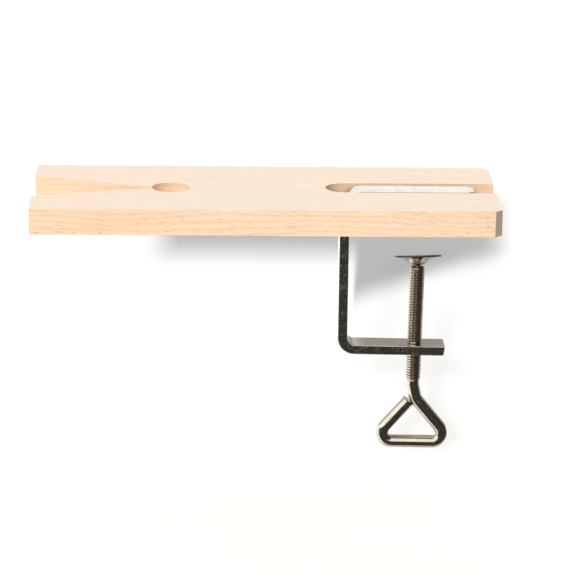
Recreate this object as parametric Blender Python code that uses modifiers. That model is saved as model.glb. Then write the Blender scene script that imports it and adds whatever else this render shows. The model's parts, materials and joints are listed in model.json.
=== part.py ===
"""Fretsaw table: a beech board with a sawing notch, held to a bench edge by a nickel-plated screw clamp.

Frame: metres, +Z up, +X along the board towards its slotted end. The origin is on the board's
underside, where the clamp screw's axis meets it, so Y = 0 is the plane of the clamp.
"""
import math

import bmesh
import bpy
from mathutils import Matrix, Vector

# Board
BOARD_LENGTH = 0.250
BOARD_WIDTH = 0.095
BOARD_THICKNESS = 0.014
BOARD_END_X = 0.0406            # slotted end, measured from the screw axis
BOARD_CENTRE_Y = -0.0015        # the clamp sits a little behind the board's centre line
FRONT_CHAMFER = 0.0039
BACK_CHAMFER = 0.0030
ARRIS = 0.0005                  # sanded edges

# Sawing notch: a V that runs into a round hole
NOTCH_MOUTH = 0.0444
NOTCH_HOLE_DIAMETER = 0.0208
NOTCH_HOLE_FROM_END = 0.0742
NOTCH_OVERRUN = 0.0018          # the V's point lies this far inside the hole

# Clamp slot: a groove open at the board's end, with a through hole at its inner end
SLOT_WIDTH = 0.020
SLOT_CENTRE_FROM_END = 0.0821
GROOVE_DEPTH = 0.0060

# Clamp bracket: one flat bar bent twice
BAR_WIDTH = 0.015
BAR_THICKNESS = 0.0052
BAR_EDGE_RADIUS = 0.0005
TOP_ARM_RECESS = 0.0005         # below the board's top face
TOP_ARM_END_X = 0.0292
TOP_ARM_CORNER = 0.0055
BACK_OUTER_X = -0.0437
UPPER_BEND_RADIUS = 0.0058      # inside radius
LOWER_BEND_RADIUS = 0.0040      # inside radius
LOWER_ARM_END_X = 0.0150
LOWER_ARM_DEPTH = 0.0761        # its mid-plane, measured down the screw axis
DROOP = math.radians(0.8)       # the lower arm and the screw lean together
TAPPED_HOLE_RADIUS = 0.0043

# Clamp screw, measured down its axis from the centre of its ball
BALL_DEPTH = 0.0273             # ball centre below the board's underside
BALL_RADIUS = 0.0023
STEM_RADIUS = 0.0013
STEM_LENGTH = 0.0066
STEM_BORE_RADIUS = 0.0016
STEM_BORE_END = 0.0070
THREAD_RADIUS = 0.0040
THREAD_TOP = 0.0027
THREAD_LEAD_IN = 0.0008
THREAD_END = 0.0677
WIRE_RADIUS = 0.0036
WIRE_START = 0.0620             # the wire's core reaches up into the threaded length
NECK_TOP = 0.0706
NECK_BEND = 0.0786
NECK_SHIFT = 0.0019             # the neck leans off the axis before it bends
HANDLE_BAR = 0.1035
LEG_ANGLE = math.radians(40.2)
FREE_END_ABOVE_BAR = 0.0237
FREE_LEG_CORNER_X = -0.0221
NECK_TOP_RADIUS = 0.0080
NECK_BEND_RADIUS = 0.0080
CORNER_BEND_RADIUS = 0.0053

# Swivel pad, in its own frame with the ball's centre as origin
PAD_RADIUS = 0.0129
PAD_TOP = 0.0035
PAD_RIM = 0.0010
PAD_NECK_RADIUS = 0.0034
PAD_BOTTOM = 0.0015
SOCKET_RADIUS = 0.0026
PAD_TILT = math.radians(15.0)   # how far the loose pad has flopped over
PAD_TILT_AXIS_TURN = math.radians(9.0)
FLARE_CURVE = 2.2               # 1 would be a plain cone

BEND_STEPS = 8
WIRE_ROUND_STEPS = 8            # per quarter turn of the wire's section
ROUND_STEPS = 48
HOLE_STEPS = 64
CUTTER_MARGIN = 0.004
WELD_DISTANCE = 0.00001
FLAT_ANGLE = math.radians(0.5)  # faces closer than this to one plane are merged
EDGE_ANGLE = math.radians(40.0) # edges sharper than this are rounded


def clear_scene():
    for old in list(bpy.data.objects):
        bpy.data.objects.remove(old, do_unlink=True)


def new_collection(name):
    collection = bpy.data.collections.new(name)
    bpy.context.scene.collection.children.link(collection)
    return collection


def new_material(name, colour, roughness, metallic):
    material = bpy.data.materials.new(name)
    material.use_nodes = True
    shader = material.node_tree.nodes["Principled BSDF"]
    shader.inputs["Base Color"].default_value = (*colour, 1.0)
    shader.inputs["Roughness"].default_value = roughness
    shader.inputs["Metallic"].default_value = metallic
    return material


def add_object(name, mesh, collection, parent=None, material=None):
    thing = bpy.data.objects.new(name, mesh)
    collection.objects.link(thing)
    thing.parent = parent
    if material:
        mesh.materials.append(material)
    return thing


def add_cutter(name, mesh, collection, parent=None):
    cutter = add_object(name, mesh, collection, parent)
    cutter.hide_render = True
    cutter.display_type = "WIRE"
    return cutter


def add_empty(name, collection, parent, matrix):
    empty = bpy.data.objects.new(name, None)
    collection.objects.link(empty)
    empty.parent = parent
    empty.matrix_local = matrix
    return empty


def cut(target, cutter, operation="DIFFERENCE"):
    modifier = target.modifiers.new(cutter.name, "BOOLEAN")
    modifier.object = cutter
    modifier.operation = operation
    modifier.solver = "EXACT"


def round_edges(target, width, segments):
    modifier = target.modifiers.new("rounded edges", "BEVEL")
    modifier.width = width
    modifier.segments = segments
    modifier.limit_method = "ANGLE"
    modifier.angle_limit = EDGE_ANGLE


def arc(centre, radius, start, end, steps):
    """Points on an arc; the angles are in radians."""
    points = []
    for step in range(steps + 1):
        angle = start + (end - start) * step / steps
        points.append((centre[0] + radius * math.cos(angle), centre[1] + radius * math.sin(angle)))
    return points


def curve_mesh(name, curve):
    """The curve's evaluated shape as one welded mesh."""
    guide = bpy.data.objects.new(name, curve)
    bpy.context.scene.collection.objects.link(guide)
    evaluated = guide.evaluated_get(bpy.context.evaluated_depsgraph_get())
    mesh = bpy.data.meshes.new_from_object(evaluated)
    bpy.data.objects.remove(guide, do_unlink=True)
    form = bmesh.new()
    form.from_mesh(mesh)
    bmesh.ops.remove_doubles(form, verts=form.verts, dist=WELD_DISTANCE)
    bmesh.ops.dissolve_limit(form, angle_limit=FLAT_ANGLE, verts=form.verts, edges=form.edges)
    bmesh.ops.recalc_face_normals(form, faces=form.faces)
    form.to_mesh(mesh)
    form.free()
    return mesh


def plate_mesh(name, outline, low, high):
    """A flat plate: an outline in XY, from Z = low to Z = high."""
    curve = bpy.data.curves.new(name, "CURVE")
    curve.dimensions = "2D"
    curve.fill_mode = "BOTH"
    curve.extrude = (high - low) / 2
    spline = curve.splines.new("POLY")
    spline.points.add(len(outline) - 1)
    for point, (x, y) in zip(spline.points, outline):
        point.co = (x, y, 0.0, 1.0)
    spline.use_cyclic_u = True
    mesh = curve_mesh(name, curve)
    mesh.transform(Matrix.Translation((0.0, 0.0, (low + high) / 2)))
    return mesh


def cylinder_mesh(name, radius, low, high, centre=(0.0, 0.0)):
    form = bmesh.new()
    bmesh.ops.create_cone(form, cap_ends=True, segments=HOLE_STEPS, radius1=radius, radius2=radius,
                          depth=high - low)
    bmesh.ops.translate(form, verts=form.verts, vec=(centre[0], centre[1], (low + high) / 2))
    mesh = bpy.data.meshes.new(name)
    form.to_mesh(mesh)
    form.free()
    return mesh


def turned_mesh(name, profile):
    """A profile of (radius, z) points, to be turned about Z by a Screw modifier."""
    form = bmesh.new()
    corners = [form.verts.new((radius, 0.0, z)) for radius, z in profile]
    for first, second in zip(corners, corners[1:]):
        form.edges.new((first, second))
    mesh = bpy.data.meshes.new(name)
    form.to_mesh(mesh)
    form.free()
    return mesh


def turn(target, steps):
    modifier = target.modifiers.new("turned", "SCREW")
    modifier.steps = steps
    modifier.render_steps = steps
    modifier.use_merge_vertices = True
    modifier.merge_threshold = WELD_DISTANCE
    modifier.use_smooth_shade = True


def rounded_path(corners, radii, steps):
    """A path in XY through the corners, each inner corner replaced by an arc of its radius."""
    path = [Vector(corners[0])]
    for before, corner, after, radius in zip(corners, corners[1:], corners[2:], radii):
        corner = Vector(corner)
        inward = (Vector(before) - corner).normalized()
        outward = (Vector(after) - corner).normalized()
        half = inward.angle(outward) / 2
        centre = corner + (inward + outward).normalized() * (radius / math.sin(half))
        first = corner + inward * (radius / math.tan(half)) - centre
        last = corner + outward * (radius / math.tan(half)) - centre
        sweep = first.angle_signed(last)
        for step in range(steps + 1):
            path.append(centre + Matrix.Rotation(-sweep * step / steps, 2) @ first)
    path.append(Vector(corners[-1]))
    return path


def strip_outline(path, thickness):
    """The outline of a strip of even thickness about a path."""
    left, right = [], []
    for index, point in enumerate(path):
        before = path[max(index - 1, 0)]
        after = path[min(index + 1, len(path) - 1)]
        along = (after - before).normalized()
        side = Vector((-along.y, along.x)) * thickness / 2
        left.append(point + side)
        right.append(point - side)
    return [tuple(point) for point in left + right[::-1]]


def chamfer_end_corners(mesh):
    """Cut the two upright corners at the slotted end."""
    for side, size in ((-1, FRONT_CHAMFER), (1, BACK_CHAMFER)):
        form = bmesh.new()
        form.from_mesh(mesh)
        edges = []
        for edge in form.edges:
            first, second = (vert.co for vert in edge.verts)
            upright = abs(first.z - second.z) > BOARD_THICKNESS / 2
            at_corner = first.x > BOARD_END_X - ARRIS and side * (first.y - BOARD_CENTRE_Y) > 0
            if upright and at_corner:
                edges.append(edge)
        bmesh.ops.bevel(form, geom=edges, offset=size, segments=1, affect="EDGES")
        form.to_mesh(mesh)
        form.free()


def board_blank_mesh():
    form = bmesh.new()
    bmesh.ops.create_cube(form, size=1.0)
    bmesh.ops.scale(form, verts=form.verts, vec=(BOARD_LENGTH, BOARD_WIDTH, BOARD_THICKNESS))
    centre = (BOARD_END_X - BOARD_LENGTH / 2, BOARD_CENTRE_Y, BOARD_THICKNESS / 2)
    bmesh.ops.translate(form, verts=form.verts, vec=centre)
    mesh = bpy.data.meshes.new("board")
    form.to_mesh(mesh)
    form.free()
    chamfer_end_corners(mesh)
    return mesh


def notch_outline():
    """The V, drawn on past the board's end, with its point just inside the hole."""
    notch_end_x = BOARD_END_X - BOARD_LENGTH
    point_x = notch_end_x + NOTCH_HOLE_FROM_END - NOTCH_HOLE_DIAMETER / 2 + NOTCH_OVERRUN
    slope = NOTCH_MOUTH / 2 / (point_x - notch_end_x)
    start_x = notch_end_x - CUTTER_MARGIN
    reach = slope * (point_x - start_x)
    return [
        (start_x, BOARD_CENTRE_Y - reach),
        (point_x, BOARD_CENTRE_Y),
        (start_x, BOARD_CENTRE_Y + reach),
    ]


def slot_outline():
    """The groove's plan: a round inner end and straight sides that run off the board's end."""
    centre = (BOARD_END_X - SLOT_CENTRE_FROM_END, 0.0)
    end_x = BOARD_END_X + CUTTER_MARGIN
    half = SLOT_WIDTH / 2
    inner_end = arc(centre, half, math.pi / 2, 3 * math.pi / 2, HOLE_STEPS // 2)
    return [(end_x, half)] + inner_end + [(end_x, -half)]


def make_board(parts, cutters, wood):
    board = add_object("board", board_blank_mesh(), parts, material=wood)
    below = -CUTTER_MARGIN
    above = BOARD_THICKNESS + CUTTER_MARGIN
    hole_centre = (BOARD_END_X - BOARD_LENGTH + NOTCH_HOLE_FROM_END, BOARD_CENTRE_Y)
    slot_centre = (BOARD_END_X - SLOT_CENTRE_FROM_END, 0.0)
    groove_floor = BOARD_THICKNESS - GROOVE_DEPTH
    shapes = (
        plate_mesh("notch_cutter", notch_outline(), below, above),
        cylinder_mesh("notch_hole_cutter", NOTCH_HOLE_DIAMETER / 2, below, above, hole_centre),
        plate_mesh("groove_cutter", slot_outline(), groove_floor, above),
        cylinder_mesh("clamp_hole_cutter", SLOT_WIDTH / 2, below, above, slot_centre),
    )
    for mesh in shapes:
        cut(board, add_cutter(mesh.name, mesh, cutters))
    round_edges(board, ARRIS, 2)
    return board


def bracket_path(pivot):
    """Centre line of the bar in XZ, from the top arm's tip to the lower arm's, about the pivot."""
    top_z = pivot.z
    back_x = pivot.x
    screw_x = -math.sin(DROOP) * LOWER_ARM_DEPTH
    screw_z = -math.cos(DROOP) * LOWER_ARM_DEPTH
    corner_z = screw_z + (screw_x - back_x) * math.tan(DROOP)
    end_z = screw_z - (LOWER_ARM_END_X - screw_x) * math.tan(DROOP)
    corners = [(TOP_ARM_END_X, top_z), (back_x, top_z), (back_x, corner_z), (LOWER_ARM_END_X, end_z)]
    corners = [(x - pivot.x, z - pivot.z) for x, z in corners]
    radii = [radius + BAR_THICKNESS / 2 for radius in (UPPER_BEND_RADIUS, LOWER_BEND_RADIUS)]
    return rounded_path(corners, radii, BEND_STEPS)


def round_top_arm_tip(mesh, tip_x):
    """Round the top arm's two corners as seen from above."""
    form = bmesh.new()
    form.from_mesh(mesh)
    edges = []
    for edge in form.edges:
        first, second = (vert.co for vert in edge.verts)
        at_tip = min(first.x, second.x) > tip_x - ARRIS
        if at_tip and abs(first.z - second.z) > BAR_THICKNESS / 2:
            edges.append(edge)
    bmesh.ops.bevel(form, geom=edges, offset=TOP_ARM_CORNER, segments=BEND_STEPS, profile=0.5, affect="EDGES")
    form.to_mesh(mesh)
    form.free()


def make_bracket(parts, cutters, metal, hinge, screw_line):
    pivot = hinge.matrix_world.translation
    outline = strip_outline(bracket_path(pivot), BAR_THICKNESS)
    mesh = plate_mesh("clamp_bracket", outline, -BAR_WIDTH / 2, BAR_WIDTH / 2)
    mesh.transform(Matrix.Rotation(math.pi / 2, 4, "X"))
    round_top_arm_tip(mesh, TOP_ARM_END_X - pivot.x)
    bracket = add_object("clamp_bracket", mesh, parts, hinge, metal)
    round_edges(bracket, BAR_EDGE_RADIUS, 3)
    arm_depth = BALL_DEPTH - LOWER_ARM_DEPTH
    low = arm_depth - BAR_THICKNESS
    high = arm_depth + BAR_THICKNESS
    hole = cylinder_mesh("tapped_hole_cutter", TAPPED_HOLE_RADIUS, low, high)
    cut(bracket, add_cutter("tapped_hole_cutter", hole, cutters, screw_line))
    return bracket


def ball_profile():
    """The ball on its stem, from the ball's top down the outside to the stem's foot."""
    meeting = math.asin(STEM_RADIUS / BALL_RADIUS)
    profile = []
    steps = ROUND_STEPS // 6
    for step in range(steps + 1):
        angle = (math.pi - meeting) * step / steps
        profile.append((BALL_RADIUS * math.sin(angle), BALL_RADIUS * math.cos(angle)))
    profile[0] = (0.0, BALL_RADIUS)
    return profile + [(STEM_RADIUS, -STEM_LENGTH), (0.0, -STEM_LENGTH)]


def make_ball_end(parts, metal, screw_line):
    ball = add_object("ball_end", turned_mesh("ball_end", ball_profile()), parts, screw_line, metal)
    turn(ball, ROUND_STEPS // 2)
    return ball


def thread_profile():
    """The threaded length at its outside diameter, with a blind bore in its top for the stem."""
    return [
        (0.0, -STEM_BORE_END),
        (STEM_BORE_RADIUS, -STEM_BORE_END),
        (STEM_BORE_RADIUS, -THREAD_TOP),
        (THREAD_RADIUS - THREAD_LEAD_IN, -THREAD_TOP),
        (THREAD_RADIUS, -THREAD_TOP - THREAD_LEAD_IN),
        (THREAD_RADIUS, -THREAD_END),
        (THREAD_RADIUS - THREAD_LEAD_IN, -THREAD_END - THREAD_LEAD_IN),
        (0.0, -THREAD_END - THREAD_LEAD_IN),
    ]


def handle_path():
    """Centre line of the bent wire in XZ: down the neck, round the triangle and back to the neck."""
    right_corner_x = NECK_SHIFT + (HANDLE_BAR - NECK_BEND) * math.tan(LEG_ANGLE)
    free_end_x = FREE_LEG_CORNER_X + FREE_END_ABOVE_BAR * math.tan(LEG_ANGLE)
    corners = [
        (0.0, -WIRE_START),
        (0.0, -NECK_TOP),
        (NECK_SHIFT, -NECK_BEND),
        (right_corner_x, -HANDLE_BAR),
        (FREE_LEG_CORNER_X, -HANDLE_BAR),
        (free_end_x, -HANDLE_BAR + FREE_END_ABOVE_BAR),
    ]
    radii = [NECK_TOP_RADIUS, NECK_BEND_RADIUS, CORNER_BEND_RADIUS, CORNER_BEND_RADIUS]
    return rounded_path(corners, radii, BEND_STEPS)


def wire_mesh():
    curve = bpy.data.curves.new("handle_wire", "CURVE")
    curve.dimensions = "3D"
    curve.bevel_depth = WIRE_RADIUS
    curve.bevel_resolution = WIRE_ROUND_STEPS
    curve.use_fill_caps = True
    path = handle_path()
    spline = curve.splines.new("POLY")
    spline.points.add(len(path) - 1)
    for point, place in zip(spline.points, path):
        point.co = (place.x, 0.0, place.y, 1.0)
    return curve_mesh("handle_wire", curve)


def make_screw(parts, cutters, metal, screw_line):
    screw = add_object("clamp_screw", turned_mesh("clamp_screw", thread_profile()), parts, screw_line, metal)
    turn(screw, ROUND_STEPS)
    wire = add_cutter("handle_wire", wire_mesh(), cutters, screw_line)
    cut(screw, wire, "UNION")
    return screw


def pad_profile():
    """Flat face, thin rim, trumpet flare, short neck, then up inside the round socket."""
    flare_top = PAD_TOP - PAD_RIM
    profile = [(0.0, PAD_TOP), (PAD_RADIUS - PAD_RIM / 4, PAD_TOP), (PAD_RADIUS, PAD_TOP - PAD_RIM / 4)]
    steps = ROUND_STEPS // 4
    for step in range(steps + 1):
        share = step / steps
        radius = PAD_RADIUS + (PAD_NECK_RADIUS - PAD_RADIUS) * share
        z = flare_top - (flare_top + PAD_BOTTOM) * share ** FLARE_CURVE
        profile.append((radius, z))
    opening = math.acos(PAD_BOTTOM / SOCKET_RADIUS)
    for step in range(steps + 1):
        angle = opening + (math.pi - opening) * step / steps
        profile.append((SOCKET_RADIUS * math.sin(angle), -SOCKET_RADIUS * math.cos(angle)))
    profile[-1] = (0.0, SOCKET_RADIUS)
    return profile


def make_pad(parts, metal, pad_pivot):
    pad = add_object("swivel_pad", turned_mesh("swivel_pad", pad_profile()), parts, pad_pivot, metal)
    turn(pad, ROUND_STEPS)
    return pad


def main():
    clear_scene()
    parts = new_collection("fretsaw_table")
    cutters = new_collection("cutters")
    wood = new_material("beech", (0.87, 0.69, 0.50), 0.55, 0.0)
    bar_metal = new_material("nickel_plated_bar", (0.66, 0.63, 0.58), 0.22, 1.0)
    screw_metal = new_material("nickel_plated_screw", (0.70, 0.65, 0.57), 0.25, 1.0)
    pad_metal = new_material("nickel_plated_pad", (0.68, 0.67, 0.65), 0.30, 1.0)
    ball_metal = new_material("turned_steel", (0.55, 0.54, 0.52), 0.35, 1.0)

    board = make_board(parts, cutters, wood)
    pivot = Vector((BACK_OUTER_X + BAR_THICKNESS / 2, 0.0,
                    BOARD_THICKNESS - TOP_ARM_RECESS - BAR_THICKNESS / 2))
    hinge = add_empty("clamp_hinge", parts, board, Matrix.Translation(pivot))
    lean = Matrix.Rotation(DROOP, 4, "Y")
    ball_centre = lean @ Vector((0.0, 0.0, -BALL_DEPTH))
    screw_line = add_empty("screw_line", parts, hinge, Matrix.Translation(ball_centre - pivot) @ lean)
    tilt_axis = Vector((math.cos(PAD_TILT_AXIS_TURN), math.sin(PAD_TILT_AXIS_TURN), 0.0))
    pad_pivot = add_empty("pad_pivot", parts, screw_line, Matrix.Rotation(-PAD_TILT, 4, tilt_axis))
    bpy.context.view_layer.update()

    make_bracket(parts, cutters, bar_metal, hinge, screw_line)
    make_ball_end(parts, ball_metal, screw_line)
    make_screw(parts, cutters, screw_metal, screw_line)
    make_pad(parts, pad_metal, pad_pivot)


main()
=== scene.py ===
"""Looks of the fretsaw table: a beech board and its nickel-plated bench clamp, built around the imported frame.

Metres, in the frame's axes: +X along the board towards its slotted end, -Y towards the front, +Z up.
"""
import json
import math

import bmesh
import bpy
import numpy as np
from mathutils import Matrix, Vector


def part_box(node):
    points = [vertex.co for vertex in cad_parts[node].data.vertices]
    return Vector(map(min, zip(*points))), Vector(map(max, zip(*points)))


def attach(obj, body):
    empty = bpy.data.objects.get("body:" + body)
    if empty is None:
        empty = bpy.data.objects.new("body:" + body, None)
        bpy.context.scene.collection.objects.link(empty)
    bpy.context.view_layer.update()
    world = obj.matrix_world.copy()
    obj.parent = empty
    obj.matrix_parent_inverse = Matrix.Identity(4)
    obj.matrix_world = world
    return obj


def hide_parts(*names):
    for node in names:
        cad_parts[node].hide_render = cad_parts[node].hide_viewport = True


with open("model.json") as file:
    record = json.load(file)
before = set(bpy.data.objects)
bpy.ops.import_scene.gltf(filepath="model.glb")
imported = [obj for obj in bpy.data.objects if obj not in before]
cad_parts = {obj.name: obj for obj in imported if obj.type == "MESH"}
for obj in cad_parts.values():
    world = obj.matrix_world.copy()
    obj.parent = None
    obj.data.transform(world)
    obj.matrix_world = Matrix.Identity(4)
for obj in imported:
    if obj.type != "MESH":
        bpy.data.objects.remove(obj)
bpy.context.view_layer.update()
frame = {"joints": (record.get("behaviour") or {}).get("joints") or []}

# Board, as in the CAD source
FRONT_CHAMFER = 0.0039
BACK_CHAMFER = 0.0030
ARRIS = 0.0005
NOTCH_MOUTH = 0.0444
NOTCH_HOLE_RADIUS = 0.0104
NOTCH_HOLE_FROM_END = 0.0742
NOTCH_OVERRUN = 0.0018
SLOT_RADIUS = 0.010
SLOT_CENTRE_FROM_END = 0.0821
GROOVE_DEPTH = 0.0060

# Clamp bracket
BAR_WIDTH = 0.015
BAR_THICKNESS = 0.0052
BAR_EDGE_RADIUS = 0.0005
TOP_ARM_END_X = 0.0292
TOP_ARM_CORNER = 0.0055
UPPER_BEND_RADIUS = 0.0058
LOWER_BEND_RADIUS = 0.0040
LOWER_ARM_END_X = 0.0150
LOWER_ARM_DEPTH = 0.0761
END_SHEAR = 0.0003              # the sheared end leans, its top edge further out than its bottom edge
TAPPED_HOLE_RADIUS = 0.00406

# Clamp screw, measured down its axis from the ball's centre
BALL_DEPTH = 0.0273
BALL_RADIUS = 0.0023
STEM_RADIUS = 0.0013
STEM_LENGTH = 0.0066
STEM_BORE_RADIUS = 0.0016
STEM_BORE_END = 0.0070
THREAD_RADIUS = 0.0040
THREAD_DEPTH = 0.00088
THREAD_PITCH = 0.0015
THREAD_TOP = 0.0027
THREAD_LEAD_IN = 0.0008
THREAD_RUNOUT = 0.0019          # over this length the thread fades into the plain wire
THREAD_END = 0.0677
WIRE_RADIUS = 0.0036
NECK_TOP = 0.0706
NECK_BEND = 0.0786
NECK_SHIFT = 0.0019             # the neck leans off the axis before it bends
HANDLE_BAR = 0.1035
LEG_ANGLE = math.radians(40.2)
FREE_END_ABOVE_BAR = 0.0237
FREE_LEG_CORNER_X = -0.0221
NECK_TOP_RADIUS = 0.0080
NECK_BEND_RADIUS = 0.0080
CORNER_BEND_RADIUS = 0.0053
WIRE_END_CHAMFER = 0.0003

# Swivel pad, in its own frame with the ball's centre as origin
PAD_RADIUS = 0.0129
PAD_TOP = 0.0035
PAD_RIM = 0.0010
PAD_NECK_RADIUS = 0.0034
PAD_BOTTOM = 0.0015
SOCKET_RADIUS = 0.0026
PAD_TILT = math.radians(15.0)
FLARE_CURVE = 2.2

HOLE_STEPS = 128
BEND_STEPS = 20
RINGS_PER_PITCH = 16
SECTION_STEPS = 64
TURN_STEPS = 128
SMOOTH_ANGLE = math.radians(35.0)

# Camera, at the photograph's viewing angle
CAMERA_PLACE = (-0.1183, -1.5925, 0.4229)
CAMERA_YAW = math.radians(1.699)
CAMERA_PITCH = math.radians(16.294)
CAMERA_ROLL = math.radians(0.826)
CAMERA_LENS_MM = 189.66

FLOOR_Z = -0.19                 # below the handle with the screw run all the way down
FLOOR_SIZE = 30.0


# ---------------------------------------------------------------- meshes

def new_piece(name, mesh):
    piece = bpy.data.objects.new(name, mesh)
    bpy.context.scene.collection.objects.link(piece)
    return piece


def smooth(mesh):
    mesh.polygons.foreach_set("use_smooth", [True] * len(mesh.polygons))
    mesh.set_sharp_from_angle(angle=SMOOTH_ANGLE)


def arc(centre, radius, start, end, steps):
    angles = [start + (end - start) * step / steps for step in range(steps + 1)]
    return [(centre[0] + radius * math.cos(a), centre[1] + radius * math.sin(a)) for a in angles]


def prism(name, outline, low, high):
    """An outline in XY, drawn out from Z = low to Z = high."""
    form = bmesh.new()
    face = form.faces.new([form.verts.new((x, y, low)) for x, y in outline])
    made = bmesh.ops.extrude_face_region(form, geom=[face])["geom"]
    tops = [item for item in made if isinstance(item, bmesh.types.BMVert)]
    bmesh.ops.translate(form, verts=tops, vec=(0.0, 0.0, high - low))
    bmesh.ops.recalc_face_normals(form, faces=form.faces)
    mesh = bpy.data.meshes.new(name)
    form.to_mesh(mesh)
    form.free()
    return mesh


def finished(name, mesh, cutters, edge_radius, edge_segments):
    """The mesh less its cutters, with rounded edges and normals that keep the flats flat."""
    rough = new_piece(name, mesh)
    tools = [new_piece(cutter.name, cutter) for cutter in cutters]
    for tool in tools:
        boolean = rough.modifiers.new(tool.name, "BOOLEAN")
        boolean.object = tool
        boolean.solver = "EXACT"
    bevel = rough.modifiers.new("rounded edges", "BEVEL")
    bevel.width = edge_radius
    bevel.segments = edge_segments
    bevel.limit_method = "ANGLE"
    bevel.angle_limit = math.radians(40.0)
    graph = bpy.context.evaluated_depsgraph_get()
    result = bpy.data.meshes.new_from_object(rough.evaluated_get(graph))
    for used in [rough, *tools]:
        bpy.data.objects.remove(used, do_unlink=True)
    smooth(result)
    piece = new_piece(name, result)
    weighted = piece.modifiers.new("flat normals", "WEIGHTED_NORMAL")
    weighted.keep_sharp = True
    return piece


def tube(name, rings, round_steps):
    """A closed skin over rings of (centre, side, up, radii); a ring of radius 0 is a pole."""
    angles = np.linspace(0.0, 2.0 * math.pi, round_steps, endpoint=False)
    points, faces, loops = [], [], []
    for centre, side, up, radii in rings:
        first = len(points)
        if np.max(radii) < 1e-7:
            points.append(tuple(centre))
            loops.append([first] * round_steps)
            continue
        centre, side, up = np.array(centre), np.array(side), np.array(up)
        radii = np.broadcast_to(radii, angles.shape)
        ring = centre + (radii * np.cos(angles))[:, None] * side + (radii * np.sin(angles))[:, None] * up
        points.extend(map(tuple, ring))
        loops.append(list(range(first, first + round_steps)))
    for lower, upper in zip(loops, loops[1:]):
        for step in range(round_steps):
            after = (step + 1) % round_steps
            corners = [lower[step], lower[after], upper[after], upper[step]]
            faces.append(list(dict.fromkeys(corners)))
    for loop, end in ((loops[0], -1), (loops[-1], 1)):
        if len(set(loop)) > 1:
            faces.append(loop[::end])
    mesh = bpy.data.meshes.new(name)
    mesh.from_pydata(points, [], faces)
    form = bmesh.new()
    form.from_mesh(mesh)
    bmesh.ops.recalc_face_normals(form, faces=form.faces)
    form.to_mesh(mesh)
    form.free()
    smooth(mesh)
    return new_piece(name, mesh)


def turned(name, profile, place):
    """A profile of (radius, height) turned about the Z axis of a matrix."""
    side, up, axis = (place.to_3x3().col[i] for i in range(3))
    rings = [(place.translation + axis * height, side, up, radius) for radius, height in profile]
    return tube(name, rings, TURN_STEPS)


def rounded_path(corners, radii, steps):
    """A path through the corners, each inner corner replaced by an arc of its radius."""
    path = [Vector(corners[0])]
    for before, corner, after, radius in zip(corners, corners[1:], corners[2:], radii):
        corner = Vector(corner)
        inward = (Vector(before) - corner).normalized()
        outward = (Vector(after) - corner).normalized()
        half = inward.angle(outward) / 2
        centre = corner + (inward + outward).normalized() * (radius / math.sin(half))
        first = corner + inward * (radius / math.tan(half)) - centre
        last = corner + outward * (radius / math.tan(half)) - centre
        sweep = first.angle_signed(last)
        for step in range(steps + 1):
            path.append(centre + Matrix.Rotation(-sweep * step / steps, 2) @ first)
    path.append(Vector(corners[-1]))
    return path


def directions(path):
    """The path's direction at each of its points."""
    result = []
    for index in range(len(path)):
        before = path[max(index - 1, 0)]
        after = path[min(index + 1, len(path) - 1)]
        result.append((after - before).normalized())
    return result


# ---------------------------------------------------------------- the object's pieces

def make_board():
    low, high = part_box("board")
    centre_y = (low.y + high.y) / 2
    outline = [
        (low.x, low.y), (high.x - FRONT_CHAMFER, low.y), (high.x, low.y + FRONT_CHAMFER),
        (high.x, high.y - BACK_CHAMFER), (high.x - BACK_CHAMFER, high.y), (low.x, high.y),
    ]
    margin = 0.004
    below, above = low.z - margin, high.z + margin
    hole = (low.x + NOTCH_HOLE_FROM_END, centre_y)
    point_x = hole[0] - NOTCH_HOLE_RADIUS + NOTCH_OVERRUN
    slope = NOTCH_MOUTH / 2 / (point_x - low.x)
    reach = slope * (point_x - low.x + margin)
    notch = [(low.x - margin, centre_y - reach), (point_x, centre_y), (low.x - margin, centre_y + reach)]
    slot = (high.x - SLOT_CENTRE_FROM_END, 0.0)
    inner_end = arc(slot, SLOT_RADIUS, math.pi / 2, 3 * math.pi / 2, HOLE_STEPS // 2)
    groove = [(high.x + margin, SLOT_RADIUS)] + inner_end + [(high.x + margin, -SLOT_RADIUS)]
    full_turn = 2 * math.pi * (1 - 1 / HOLE_STEPS)
    cutters = (
        prism("notch_cutter", notch, below, above),
        prism("notch_hole_cutter", arc(hole, NOTCH_HOLE_RADIUS, 0, full_turn, HOLE_STEPS - 1), below, above),
        prism("groove_cutter", groove, high.z - GROOVE_DEPTH, above),
        prism("clamp_hole_cutter", arc(slot, SLOT_RADIUS, 0, full_turn, HOLE_STEPS - 1), below, above),
    )
    return finished("board_beech", prism("board_beech", outline, low.z, high.z), cutters, ARRIS, 3)


def round_tip(mesh, tip_x):
    """Round the top arm's two corners as seen from above."""
    form = bmesh.new()
    form.from_mesh(mesh)
    edges = []
    for edge in form.edges:
        first, second = (vert.co for vert in edge.verts)
        if min(first.x, second.x) > tip_x - ARRIS and abs(first.z - second.z) > BAR_THICKNESS / 2:
            edges.append(edge)
    bmesh.ops.bevel(form, geom=edges, offset=TOP_ARM_CORNER, segments=BEND_STEPS, profile=0.5, affect="EDGES")
    form.to_mesh(mesh)
    form.free()


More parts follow.
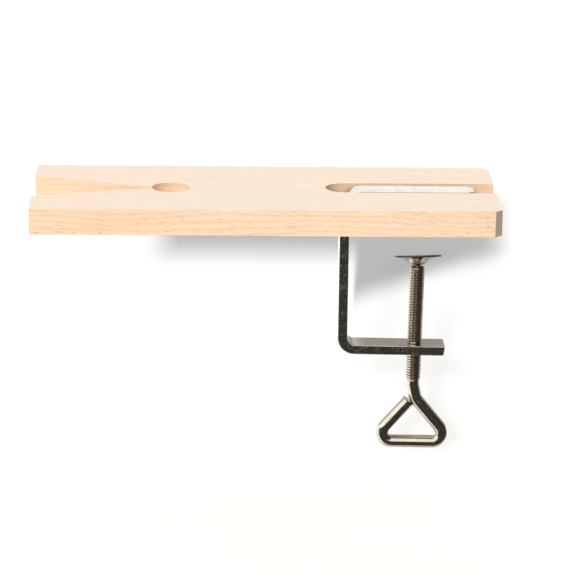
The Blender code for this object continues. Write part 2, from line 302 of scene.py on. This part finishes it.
def make_bracket(screw_place, droop):
    low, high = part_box("clamp_bracket")
    pivot = Vector(next(j for j in frame["joints"] if j["name"] == "clamp_lift")["pos_m"])
    screw_x = -math.sin(droop) * LOWER_ARM_DEPTH
    screw_z = -math.cos(droop) * LOWER_ARM_DEPTH
    corner_z = screw_z + (screw_x - pivot.x) * math.tan(droop)
    end_z = screw_z - (LOWER_ARM_END_X - screw_x) * math.tan(droop)
    corners = [(high.x, pivot.z), (pivot.x, pivot.z), (pivot.x, corner_z), (LOWER_ARM_END_X, end_z)]
    radii = [radius + BAR_THICKNESS / 2 for radius in (UPPER_BEND_RADIUS, LOWER_BEND_RADIUS)]
    path = rounded_path(corners, radii, BEND_STEPS)
    left, right = [], []
    for point, along in zip(path, directions(path)):
        side = Vector((-along.y, along.x)) * BAR_THICKNESS / 2
        left.append(point + side)
        right.append(point - side)
    left[-1].x += END_SHEAR
    right[-1].x -= END_SHEAR
    outline = [tuple(point) for point in left + right[::-1]]
    mesh = prism("clamp_bar", outline, -BAR_WIDTH / 2, BAR_WIDTH / 2)
    mesh.transform(Matrix.Rotation(math.pi / 2, 4, "X"))
    round_tip(mesh, high.x)
    full_turn = 2 * math.pi * (1 - 1 / HOLE_STEPS)
    depth = BALL_DEPTH - LOWER_ARM_DEPTH
    circle = arc((0.0, 0.0), TAPPED_HOLE_RADIUS, 0, full_turn, HOLE_STEPS - 1)
    hole = prism("tapped_hole_cutter", circle, depth - BAR_THICKNESS, depth + BAR_THICKNESS)
    hole.transform(screw_place)
    return finished("clamp_bar", mesh, (hole,), BAR_EDGE_RADIUS, 5)


def thread_radii(depth, angles):
    """Radii round the screw at one depth: a right-hand rolled thread that fades out into the plain wire."""
    phase = (-depth / THREAD_PITCH - angles / (2 * math.pi)) % 1.0
    from_crest = np.minimum(phase, 1.0 - phase)
    crest, root = 0.19, 0.43
    share = np.clip((from_crest - crest) / (root - crest), 0.0, 1.0)
    groove = share * share * (3 - 2 * share)
    fade = min(max((depth - THREAD_END + THREAD_PITCH) / THREAD_RUNOUT, 0.0), 1.0)
    crest_radius = THREAD_RADIUS + (WIRE_RADIUS - THREAD_RADIUS) * fade
    root_radius = THREAD_RADIUS - THREAD_DEPTH
    root_radius += (WIRE_RADIUS - root_radius) * fade
    radii = crest_radius - (crest_radius - root_radius) * groove
    lead_in = THREAD_RADIUS - THREAD_LEAD_IN + (depth - THREAD_TOP)
    return np.minimum(radii, lead_in)


def handle_path():
    """Centre line of the bent wire in the screw's own XZ plane, from the thread's end round the triangle."""
    right_corner_x = NECK_SHIFT + (HANDLE_BAR - NECK_BEND) * math.tan(LEG_ANGLE)
    free_end_x = FREE_LEG_CORNER_X + FREE_END_ABOVE_BAR * math.tan(LEG_ANGLE)
    corners = [
        (0.0, -THREAD_END - THREAD_RUNOUT),
        (0.0, -NECK_TOP),
        (NECK_SHIFT, -NECK_BEND),
        (right_corner_x, -HANDLE_BAR),
        (FREE_LEG_CORNER_X, -HANDLE_BAR),
        (free_end_x, -HANDLE_BAR + FREE_END_ABOVE_BAR),
    ]
    radii = [NECK_TOP_RADIUS, NECK_BEND_RADIUS, CORNER_BEND_RADIUS, CORNER_BEND_RADIUS]
    return rounded_path(corners, radii, BEND_STEPS)


def make_screw(place):
    angles = np.linspace(0.0, 2.0 * math.pi, SECTION_STEPS, endpoint=False)
    across, out, axis = (place.to_3x3().col[i] for i in range(3))
    origin = place.translation

    def on_axis(depth, radii):
        return origin - axis * depth, across, out, radii

    rings = [
        on_axis(STEM_BORE_END, 0.0),
        on_axis(STEM_BORE_END, STEM_BORE_RADIUS),
        on_axis(THREAD_TOP, STEM_BORE_RADIUS),
    ]
    thread_steps = round((THREAD_END + THREAD_PITCH - THREAD_TOP) / THREAD_PITCH * RINGS_PER_PITCH)
    for step in range(thread_steps + 1):
        depth = THREAD_TOP + step * THREAD_PITCH / RINGS_PER_PITCH
        rings.append(on_axis(depth, thread_radii(depth, angles)))
    path = handle_path()
    for point, along in zip(path, directions(path)):
        centre = origin + across * point.x + axis * point.y
        side = across * -along.y + axis * along.x
        rings.append((centre, side, out, WIRE_RADIUS))
    end, side = rings[-1][0], rings[-1][1]
    along = (end - rings[-2][0]).normalized()
    rings[-1] = (end - along * WIRE_END_CHAMFER, side, out, WIRE_RADIUS)
    rings.append((end, side, out, WIRE_RADIUS - WIRE_END_CHAMFER))
    return tube("clamp_screw_wire", rings, SECTION_STEPS)


def make_ball(place):
    meeting = math.pi - math.asin(STEM_RADIUS / BALL_RADIUS)
    steps = TURN_STEPS // 4
    angles = [meeting * step / steps for step in range(steps + 1)]
    profile = [(BALL_RADIUS * math.sin(a), BALL_RADIUS * math.cos(a)) for a in angles]
    profile += [(STEM_RADIUS, -STEM_LENGTH), (0.0, -STEM_LENGTH)]
    return turned("ball_tip", profile, place)


def make_pad(place):
    """Flat face, thin rounded rim, trumpet flare, short neck, then up inside the round socket."""
    rim_round = PAD_RIM * 0.35
    profile = [(0.0, PAD_TOP)]
    profile += arc((PAD_RADIUS - rim_round, PAD_TOP - rim_round), rim_round, math.pi / 2, 0, 6)
    flare_top = PAD_TOP - PAD_RIM
    steps = TURN_STEPS // 4
    for step in range(steps + 1):
        share = step / steps
        radius = PAD_RADIUS + (PAD_NECK_RADIUS - PAD_RADIUS) * share
        profile.append((radius, flare_top - (flare_top + PAD_BOTTOM) * share ** FLARE_CURVE))
    opening = math.acos(PAD_BOTTOM / SOCKET_RADIUS)
    for step in range(steps + 1):
        angle = opening + (math.pi - opening) * step / steps
        profile.append((SOCKET_RADIUS * math.sin(angle), -SOCKET_RADIUS * math.cos(angle)))
    profile[-1] = (0.0, SOCKET_RADIUS)
    return turned("pad_disc", profile, place)


# ---------------------------------------------------------------- node helpers

def feed(tree, socket, value):
    if isinstance(value, bpy.types.NodeSocket):
        tree.links.new(value, socket)
    elif value is not None:
        socket.default_value = value


def math_node(tree, operation, first, second=None, third=None):
    node = tree.nodes.new("ShaderNodeMath")
    node.operation = operation
    for socket, value in zip(node.inputs, (first, second, third)):
        feed(tree, socket, value)
    return node.outputs[0]


def scaled(tree, vector, scale):
    node = tree.nodes.new("ShaderNodeVectorMath")
    node.operation = "MULTIPLY"
    feed(tree, node.inputs[0], vector)
    node.inputs[1].default_value = scale
    return node.outputs[0]


def noise(tree, vector, scale, detail=3.0, roughness=0.55, distortion=0.0):
    node = tree.nodes.new("ShaderNodeTexNoise")
    feed(tree, node.inputs["Vector"], scaled(tree, vector, scale))
    node.inputs["Scale"].default_value = 1.0
    node.inputs["Detail"].default_value = detail
    node.inputs["Roughness"].default_value = roughness
    node.inputs["Distortion"].default_value = distortion
    return node.outputs[0]


def ramp(tree, value, low, high, out_low=0.0, out_high=1.0):
    """A smooth step of value from low to high."""
    node = tree.nodes.new("ShaderNodeMapRange")
    node.interpolation_type = "SMOOTHSTEP"
    for name, item in (("Value", value), ("From Min", low), ("From Max", high),
                       ("To Min", out_low), ("To Max", out_high)):
        feed(tree, node.inputs[name], item)
    return node.outputs[0]


def blend(tree, factor, first, second, mode="MIX"):
    node = tree.nodes.new("ShaderNodeMix")
    node.data_type = "RGBA"
    node.blend_type = mode
    feed(tree, node.inputs["Factor"], factor)
    feed(tree, node.inputs["A"], first)
    feed(tree, node.inputs["B"], second)
    return node.outputs["Result"]


def split(tree, vector):
    node = tree.nodes.new("ShaderNodeSeparateXYZ")
    feed(tree, node.inputs[0], vector)
    return node.outputs


def part_along(tree, vector, direction):
    node = tree.nodes.new("ShaderNodeVectorMath")
    node.operation = "DOT_PRODUCT"
    feed(tree, node.inputs[0], vector)
    node.inputs[1].default_value = direction
    return node.outputs["Value"]


def about_axis(tree, place, origin, axis):
    """How far a place is along an axis from its origin, and how far from the axis."""
    offset = tree.nodes.new("ShaderNodeVectorMath")
    offset.operation = "SUBTRACT"
    feed(tree, offset.inputs[0], place)
    offset.inputs[1].default_value = origin
    cross = tree.nodes.new("ShaderNodeVectorMath")
    cross.operation = "CROSS_PRODUCT"
    feed(tree, cross.inputs[0], offset.outputs[0])
    cross.inputs[1].default_value = axis
    length = tree.nodes.new("ShaderNodeVectorMath")
    length.operation = "LENGTH"
    feed(tree, length.inputs[0], cross.outputs[0])
    return part_along(tree, offset.outputs[0], axis), length.outputs["Value"]


def bump(tree, height, distance, strength=1.0, normal=None):
    node = tree.nodes.new("ShaderNodeBump")
    node.inputs["Distance"].default_value = distance
    feed(tree, node.inputs["Strength"], strength)
    feed(tree, node.inputs["Height"], height)
    feed(tree, node.inputs["Normal"], normal)
    return node.outputs[0]


def new_material(name, metallic, ior=1.5):
    material = bpy.data.materials.new(name)
    material.use_nodes = True
    tree = material.node_tree
    shader = tree.nodes["Principled BSDF"]
    shader.inputs["Metallic"].default_value = metallic
    shader.inputs["IOR"].default_value = ior
    coordinates = tree.nodes.new("ShaderNodeTexCoord")
    return material, tree, shader, coordinates.outputs["Object"], coordinates.outputs["Normal"]


# ---------------------------------------------------------------- materials

BEECH = (0.85, 0.625, 0.440, 1.0)
BEECH_LATE_WOOD = (0.74, 0.49, 0.31, 1.0)
BEECH_FLECK = (0.50, 0.285, 0.155, 1.0)
# pale tone painted on the upward faces as their sheen, a painted reflection of the bright surroundings
BEECH_PAINTED_TOP_SHEEN = (0.86, 0.755, 0.635, 1.0)
BEECH_END_GRAIN = (0.42, 0.325, 0.24, 1.0)
RING_WIDTH = 0.0027
PITH_Y, PITH_Z = 0.012, -0.085  # the tree's centre, below the board


def beech():
    """Solid beech: growth rings about a pith below the board, fibres and short ray flecks along X, and a
    painted sheen that lightens the upward faces.
    """
    material, tree, shader, place, normal = new_material("beech_look", 0.0)
    low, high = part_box("board")
    middle_x, half_length = (low.x + high.x) / 2, (high.x - low.x) / 2
    x, y, z = split(tree, place)
    wander = noise(tree, place, (7.0, 30.0, 30.0), detail=2.0)
    ripple = noise(tree, place, (35.0, 220.0, 220.0), detail=2.0)
    across = math_node(tree, "SUBTRACT", y, PITH_Y)
    above = math_node(tree, "SUBTRACT", z, PITH_Z)
    squared = math_node(tree, "MULTIPLY_ADD", above, above, math_node(tree, "MULTIPLY", across, across))
    radius = math_node(tree, "SQRT", squared)
    radius = math_node(tree, "MULTIPLY_ADD", wander, 0.016, radius)
    radius = math_node(tree, "MULTIPLY_ADD", ripple, 0.0010, radius)
    ring = math_node(tree, "FRACT", math_node(tree, "DIVIDE", radius, RING_WIDTH))
    late = math_node(tree, "MULTIPLY", ramp(tree, ring, 0.25, 0.92), ramp(tree, ring, 0.93, 1.0, 1.0, 0.0))
    fibres = noise(tree, place, (45.0, 1900.0, 1900.0), detail=3.0, roughness=0.6)
    tone = noise(tree, place, (14.0, 60.0, 60.0), detail=3.0)
    thickly = ramp(tree, noise(tree, place, (40.0, 160.0, 160.0), detail=1.0), 0.35, 0.65, 0.05, 0.0)
    streaks = math_node(tree, "SUBTRACT", noise(tree, place, (260.0, 2300.0, 2300.0), detail=1.5), thickly)
    fleck = ramp(tree, streaks, 0.57, 0.70)

    facing_x, facing_y, facing_z = split(tree, normal)
    upward = ramp(tree, facing_z, 0.5, 0.95)
    colour = blend(tree, math_node(tree, "MULTIPLY", late, 0.60), BEECH, BEECH_LATE_WOOD)
    colour = blend(tree, ramp(tree, tone, 0.35, 0.7, 0.0, 0.30), colour, BEECH_LATE_WOOD)
    colour = blend(tree, ramp(tree, fibres, 0.45, 0.75, 0.0, 0.55), colour, BEECH_LATE_WOOD)
    colour = blend(tree, math_node(tree, "MULTIPLY", fleck, 0.62), colour, BEECH_FLECK)
    # painted sheen: the more a face points up, the paler it is painted, standing in for its reflection of the
    # bright surroundings
    colour = blend(tree, math_node(tree, "MULTIPLY", upward, 0.62), colour, BEECH_PAINTED_TOP_SHEEN)
    at_end = ramp(tree, math_node(tree, "ABSOLUTE", math_node(tree, "SUBTRACT", x, middle_x)),
                  half_length - 0.006, half_length - 0.005)
    end_grain = math_node(tree, "MULTIPLY", at_end,
                          ramp(tree, math_node(tree, "ABSOLUTE", facing_x), 0.45, 0.70))
    colour = blend(tree, end_grain, colour, BEECH_END_GRAIN)
    feed(tree, shader.inputs["Base Color"], colour)
    feed(tree, shader.inputs["Roughness"], ramp(tree, fibres, 0.3, 0.7, 0.46, 0.60))
    height = math_node(tree, "MULTIPLY_ADD", fleck, -0.6, fibres)
    feed(tree, shader.inputs["Normal"], bump(tree, height, 0.00004, 0.5))
    return material


DULL_SPECKS = (0.62, 0.58, 0.51, 1.0)
# painted shade: the dark colour painted into the thread grooves
THREAD_GROOVE_PAINTED_SHADE = (0.36, 0.28, 0.19, 1.0)
# painted shade: the dark colour painted on the pad's thin rim and on its neck below the flare
PAD_PAINTED_SHADE = (0.10, 0.075, 0.055, 1.0)


def nickel(name, colour, shadow_colour, roughness, dents, dent_depth, specks=0.0,
           painted_shade=None, painted_shade_colour=THREAD_GROOVE_PAINTED_SHADE):
    """Nickel plate: faintly cloudy, with shallow dents, dull pale specks and, where asked, painted dark shade.

    dents and the painted-shade argument make masks from 0 to 1; specks is how much of the dented surface is
    dull.
    """
    material, tree, shader, place, normal = new_material(name, 1.0)
    clouds = noise(tree, place, (160.0, 160.0, 160.0), detail=4.0)
    pits = noise(tree, place, (900.0, 900.0, 900.0), detail=4.0, roughness=0.65)
    worn = noise(tree, place, (1500.0, 1500.0, 1500.0), detail=3.0, roughness=0.7)
    patches = noise(tree, place, (260.0, 260.0, 260.0), detail=2.0)
    dented = dents(tree, normal)
    gloss = ramp(tree, clouds, 0.3, 0.7, roughness * 0.8, roughness * 1.3)
    plate = blend(tree, ramp(tree, clouds, 0.35, 0.75), colour, shadow_colour)
    amount = math_node(tree, "MULTIPLY_ADD", patches, 0.5, worn)
    dull = math_node(tree, "MULTIPLY", ramp(tree, amount, 0.86 - specks * 0.2, 0.98 - specks * 0.2), dented)
    dull = math_node(tree, "MULTIPLY", dull, 1.0 if specks else 0.0)
    plate = blend(tree, dull, plate, DULL_SPECKS)
    gloss = math_node(tree, "MULTIPLY_ADD", dull, 0.30, gloss)
    if painted_shade:
        shade_mask = painted_shade(tree, place)
        # painted shade: darkens the plate under the mask, for the thread grooves and the pad's rim and neck
        plate = blend(tree, shade_mask, plate, painted_shade_colour)
        gloss = math_node(tree, "MULTIPLY_ADD", shade_mask, 0.25, gloss)
    feed(tree, shader.inputs["Base Color"], plate)
    feed(tree, shader.inputs["Roughness"], gloss)
    feed(tree, shader.inputs["Normal"], bump(tree, pits, dent_depth, dented))
    return material


def on_narrow_sides(tree, normal):
    """Dents show on the bar's sheared sides, which face along Y, and hardly on its rolled faces."""
    return ramp(tree, math_node(tree, "ABSOLUTE", split(tree, normal)[1]), 0.4, 0.9, 0.12, 1.0)


def everywhere(tree, normal):
    return 1.0


def in_thread_grooves(top, axis):
    """A mask of the grooves between the threads of a screw with its ball's centre at top, where shade is
    painted in.
    """
    def painted_shade(tree, place):
        depth, distance = about_axis(tree, place, top, axis)
        groove = ramp(tree, distance, THREAD_RADIUS - 0.75 * THREAD_DEPTH,
                      THREAD_RADIUS - 0.25 * THREAD_DEPTH, 1.0, 0.0)
        within = ramp(tree, depth, THREAD_END - 1.5 * THREAD_PITCH, THREAD_END - THREAD_PITCH, 1.0, 0.0)
        return math_node(tree, "MULTIPLY", groove, within)
    return painted_shade


def on_rim_and_neck(centre, axis):
    """A mask of a pad's thin rim and of its neck below the flat face, where shade is painted in; its axis runs
    through centre.
    """
    def rim_and_neck_shade(tree, place):
        height, distance = about_axis(tree, place, centre, axis)
        rim = ramp(tree, distance, PAD_RADIUS - 0.0005, PAD_RADIUS - 0.0003)
        neck = ramp(tree, distance, PAD_NECK_RADIUS + 0.0002, PAD_NECK_RADIUS + 0.0012, 1.0, 0.0)
        flare_top = PAD_TOP - PAD_RIM
        below = ramp(tree, height, flare_top - 0.0012, flare_top - 0.0004, 1.0, 0.0)
        return math_node(tree, "MAXIMUM", rim, math_node(tree, "MULTIPLY", neck, below))
    return rim_and_neck_shade


FLOOR_DARKER = (0.53, 0.52, 0.51, 1.0)
FLOOR_LIGHTER = (0.55, 0.54, 0.53, 1.0)


def floor_look():
    material, tree, shader, place, normal = new_material("pale_floor", 0.0)
    mottle = noise(tree, place, (6.0, 6.0, 6.0), detail=3.0)
    feed(tree, shader.inputs["Base Color"], blend(tree, mottle, FLOOR_DARKER, FLOOR_LIGHTER))
    shader.inputs["Roughness"].default_value = 0.8
    feed(tree, shader.inputs["Normal"], bump(tree, mottle, 0.0005, 0.2))
    return material


# ---------------------------------------------------------------- stage, lights, camera

CARD_WHITE = 1.5                # what the metal sees of the white surface behind the object
CARD_SHADE = 0.50               # the same under the board
CARD_LOW = 0.75                 # and towards the lower right, where the object shades it
CARD_FAR = 0.65                 # and far away at the upper left
SOFTBOX = 1.6
ROOM_DARK = 0.055
FILL = 0.66
TOWARDS_CARD = Vector((-0.42, 1.0, -0.32)).normalized()
TOWARDS_SHADE = Vector((0.35, 0.25, -0.90)).normalized()
TOWARDS_FAR_CORNER = Vector((-0.80, 0.35, 0.50)).normalized()

KEY_LIGHT = {"azimuth": 38.0, "elevation": 36.0, "softness": 18.0, "power": 2.25}
FLOOR_LIGHT = {"azimuth": 5.3, "elevation": 16.3, "softness": 2.2, "power": 11.6}
CLAMP_SHADOW_LIGHT = {"azimuth": 7.0, "elevation": 19.3, "softness": 2.5, "power": 2.2}


def grey(level):
    return level, level, level, 1.0


def make_world():
    """Even pale light. Reflections see a white surface behind, a softbox at the upper left, a dark room."""
    world = bpy.data.worlds.new("studio")
    bpy.context.scene.world = world
    world.use_nodes = True
    tree = world.node_tree
    coordinates = tree.nodes.new("ShaderNodeTexCoord")
    sight = coordinates.outputs["Generated"]
    x, y, z = split(tree, sight)
    left = math_node(tree, "MULTIPLY", x, -1.0)
    front = math_node(tree, "MULTIPLY", y, -1.0)
    azimuth = math_node(tree, "ARCTAN2", left, front)
    window = math_node(tree, "MULTIPLY",
                       ramp(tree, azimuth, math.radians(-22), math.radians(-8)),
                       ramp(tree, azimuth, math.radians(92), math.radians(104), 1.0, 0.0))
    window = math_node(tree, "MULTIPLY", window, ramp(tree, z, 0.0, 0.10))
    window = math_node(tree, "MULTIPLY", window, ramp(tree, z, 0.74, 0.86, 1.0, 0.0))
    behind = ramp(tree, part_along(tree, sight, TOWARDS_CARD), -0.04, 0.05)
    shaded = ramp(tree, part_along(tree, sight, TOWARDS_SHADE), 0.45, 0.80)
    far = ramp(tree, part_along(tree, sight, TOWARDS_FAR_CORNER), 0.90, 0.98)
    card = blend(tree, shaded, grey(CARD_WHITE), grey(CARD_LOW))
    card = blend(tree, far, card, grey(CARD_FAR))
    studio = blend(tree, window, grey(ROOM_DARK), grey(SOFTBOX))
    studio = blend(tree, behind, studio, card)
    path = tree.nodes.new("ShaderNodeLightPath")
    plain = blend(tree, path.outputs["Is Camera Ray"], grey(FILL), grey(1.0))
    feed(tree, tree.nodes["Background"].inputs["Color"],
         blend(tree, path.outputs["Is Glossy Ray"], plain, studio))


def make_floor():
    floor = new_piece("floor", prism("floor", [(-1, -1), (1, -1), (1, 1), (-1, 1)], -0.001, 0.0))
    floor.scale = (FLOOR_SIZE / 2, FLOOR_SIZE / 2, 1.0)
    floor.location.z = FLOOR_Z
    floor.data.materials.append(floor_look())
    floor.visible_glossy = False
    return floor


def make_shade_card():
    """Seen in reflections only: the shaded patch of the white surface behind, under the board."""
    low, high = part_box("board")
    size_x, size_z = 0.20, 0.14
    centre = Vector((0.056, high.y + 0.004, low.z - 0.060))
    mesh = bpy.data.meshes.new("shade_card")
    corners = [(-1, 0, -1), (1, 0, -1), (1, 0, 1), (-1, 0, 1)]
    mesh.from_pydata([(x * size_x / 2, y, z * size_z / 2) for x, y, z in corners], [], [(0, 1, 2, 3)])
    card = new_piece("shade_card", mesh)
    card.location = centre
    material = bpy.data.materials.new("shade_card")
    material.use_nodes = True
    tree = material.node_tree
    tree.nodes.remove(tree.nodes["Principled BSDF"])
    place = tree.nodes.new("ShaderNodeTexCoord").outputs["Object"]
    spread = tree.nodes.new("ShaderNodeVectorMath")
    spread.operation = "LENGTH"
    feed(tree, spread.inputs[0], scaled(tree, place, (2 / size_x, 0.0, 2 / size_z)))
    emission = tree.nodes.new("ShaderNodeEmission")
    strength = ramp(tree, spread.outputs["Value"], 0.80, 1.0, CARD_SHADE, CARD_WHITE)
    feed(tree, emission.inputs["Strength"], strength)
    feed(tree, tree.nodes["Material Output"].inputs["Surface"], emission.outputs[0])
    mesh.materials.append(material)
    card.visible_camera = card.visible_diffuse = card.visible_shadow = False
    card.visible_transmission = card.visible_volume_scatter = False


def make_shadow_card():
    """Seen by nothing: it shades the floor behind the clamp's right side, fading to the lower right."""
    size_x, size_z = 0.16, 0.11
    corner = Vector((-0.0240, 0.42, -0.1227))
    reach_x, reach_z = 0.129, 0.0692
    mesh = bpy.data.meshes.new("shadow_card")
    corners = [(0, 0, 0.3), (1, 0, 0.3), (1, 0, -0.7), (0.07, 0, -0.7)]
    mesh.from_pydata([(x * size_x, y, z * size_z) for x, y, z in corners], [], [(0, 1, 2, 3)])
    card = new_piece("shadow_card", mesh)
    card.location = corner
    material = bpy.data.materials.new("shadow_card")
    material.use_nodes = True
    tree = material.node_tree
    place = tree.nodes.new("ShaderNodeTexCoord").outputs["Object"]
    fade = part_along(tree, place, (0.72 / reach_x, 0.0, -1.0 / reach_z))
    right = ramp(tree, part_along(tree, place, (1.0 / reach_x, 0.0, 0.0)), 0.72, 0.98)
    clear = tree.nodes.new("ShaderNodeBsdfTransparent")
    mix = tree.nodes.new("ShaderNodeMixShader")
    feed(tree, mix.inputs["Fac"], math_node(tree, "MAXIMUM", ramp(tree, fade, 0.60, 0.95), right))
    feed(tree, mix.inputs[1], tree.nodes["Principled BSDF"].outputs[0])
    feed(tree, mix.inputs[2], clear.outputs[0])
    feed(tree, tree.nodes["Material Output"].inputs["Surface"], mix.outputs[0])
    mesh.materials.append(material)
    card.visible_camera = card.visible_diffuse = card.visible_glossy = False
    card.visible_transmission = card.visible_volume_scatter = False
    return card


def collected(name, items):
    collection = bpy.data.collections.new(name)
    for item in items:
        collection.objects.link(item)
    return collection


def make_sun(name, receivers, blockers=(), *, azimuth, elevation, softness, power):
    """A distant light on some pieces only, blocked by some or by all; degrees, azimuth left of the front."""
    a, e = math.radians(azimuth), math.radians(elevation)
    away = Vector((-math.sin(a) * math.cos(e), -math.cos(a) * math.cos(e), math.sin(e)))
    data = bpy.data.lights.new(name, "SUN")
    data.angle = math.radians(softness)
    data.energy = power
    light = bpy.data.objects.new(name, data)
    bpy.context.scene.collection.objects.link(light)
    light.rotation_mode = "QUATERNION"
    light.rotation_quaternion = away.to_track_quat("Z", "Y")
    light.visible_glossy = False
    light.light_linking.receiver_collection = collected(name + "_lights", receivers)
    if blockers:
        light.light_linking.blocker_collection = collected(name + "_shadows", blockers)


def make_camera():
    forward = Vector((math.sin(CAMERA_YAW) * math.cos(CAMERA_PITCH),
                      math.cos(CAMERA_YAW) * math.cos(CAMERA_PITCH), -math.sin(CAMERA_PITCH)))
    level = Vector((math.cos(CAMERA_YAW), -math.sin(CAMERA_YAW), 0.0))
    upright = level.cross(forward)
    side = math.cos(CAMERA_ROLL) * level + math.sin(CAMERA_ROLL) * upright
    up = -math.sin(CAMERA_ROLL) * level + math.cos(CAMERA_ROLL) * upright
    data = bpy.data.cameras.new("camera")
    data.lens = CAMERA_LENS_MM
    data.sensor_width = 36.0
    data.clip_end = 100.0
    camera = bpy.data.objects.new("camera", data)
    bpy.context.scene.collection.objects.link(camera)
    turn = Matrix((side, up, -forward)).transposed()
    camera.matrix_world = Matrix.Translation(CAMERA_PLACE) @ turn.to_4x4()
    bpy.context.scene.camera = camera


# ---------------------------------------------------------------- putting it together

def joint(name):
    return next(j for j in frame["joints"] if j["name"] == name)


def main():
    bpy.context.scene.view_settings.view_transform = "Standard"
    down = Vector(joint("screw_travel")["axis"])
    ball_centre = Vector(joint("screw_turn")["pos_m"])
    droop = math.atan2(-down.x, -down.z)
    screw_place = Matrix.Translation(ball_centre) @ Matrix.Rotation(droop, 4, "Y")
    tilt = Matrix.Rotation(-PAD_TILT, 4, Vector(joint("pad_tilt")["axis"]))
    pad_place = Matrix.Translation(ball_centre) @ tilt @ Matrix.Rotation(droop, 4, "Y")

    pad_axis = pad_place.to_3x3().col[2]
    bar = nickel("nickel_bar_look", (0.54, 0.50, 0.43, 1.0), (0.46, 0.42, 0.35, 1.0), 0.18,
                 on_narrow_sides, 0.00006, specks=0.2)
    # the screw gets painted shade in its thread grooves
    wire = nickel("nickel_screw_look", (0.62, 0.57, 0.48, 1.0), (0.56, 0.50, 0.40, 1.0), 0.14,
                  everywhere, 0.000012, specks=0.02, painted_shade=in_thread_grooves(ball_centre, down))
    # the pad gets painted shade on its thin rim and on its neck below the flare
    disc = nickel("nickel_pad_look", (0.50, 0.47, 0.43, 1.0), (0.44, 0.41, 0.37, 1.0), 0.10,
                  everywhere, 0.000008, painted_shade=on_rim_and_neck(ball_centre, pad_axis),
                  painted_shade_colour=PAD_PAINTED_SHADE)
    steel = nickel("turned_steel_look", (0.50, 0.49, 0.47, 1.0), (0.44, 0.43, 0.41, 1.0), 0.30,
                   everywhere, 0.000008)
    pieces = (
        (make_board(), "board", "beech", beech()),
        (make_bracket(screw_place, droop), "clamp_bracket", "nickel_bar", bar),
        (make_screw(screw_place), "clamp_screw", "nickel_screw", wire),
        (make_ball(screw_place), "ball_end", "turned_steel", steel),
        (make_pad(pad_place), "swivel_pad", "nickel_pad", disc),
    )
    for piece, node, slot, material in pieces:
        piece.data.materials.clear()
        piece.data.materials.append(material)
        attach(piece, node)
        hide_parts(node)

    make_world()
    floor = make_floor()
    make_shade_card()
    flag = make_shadow_card()
    made = [piece for piece, _, _, _ in pieces]
    board, bracket, screw = made[:3]
    make_sun("key", made, **KEY_LIGHT)
    make_sun("floor_key", [floor], [board, flag], **FLOOR_LIGHT)
    make_sun("floor_second", [floor], [bracket, screw], **CLAMP_SHADOW_LIGHT)
    make_camera()


main()
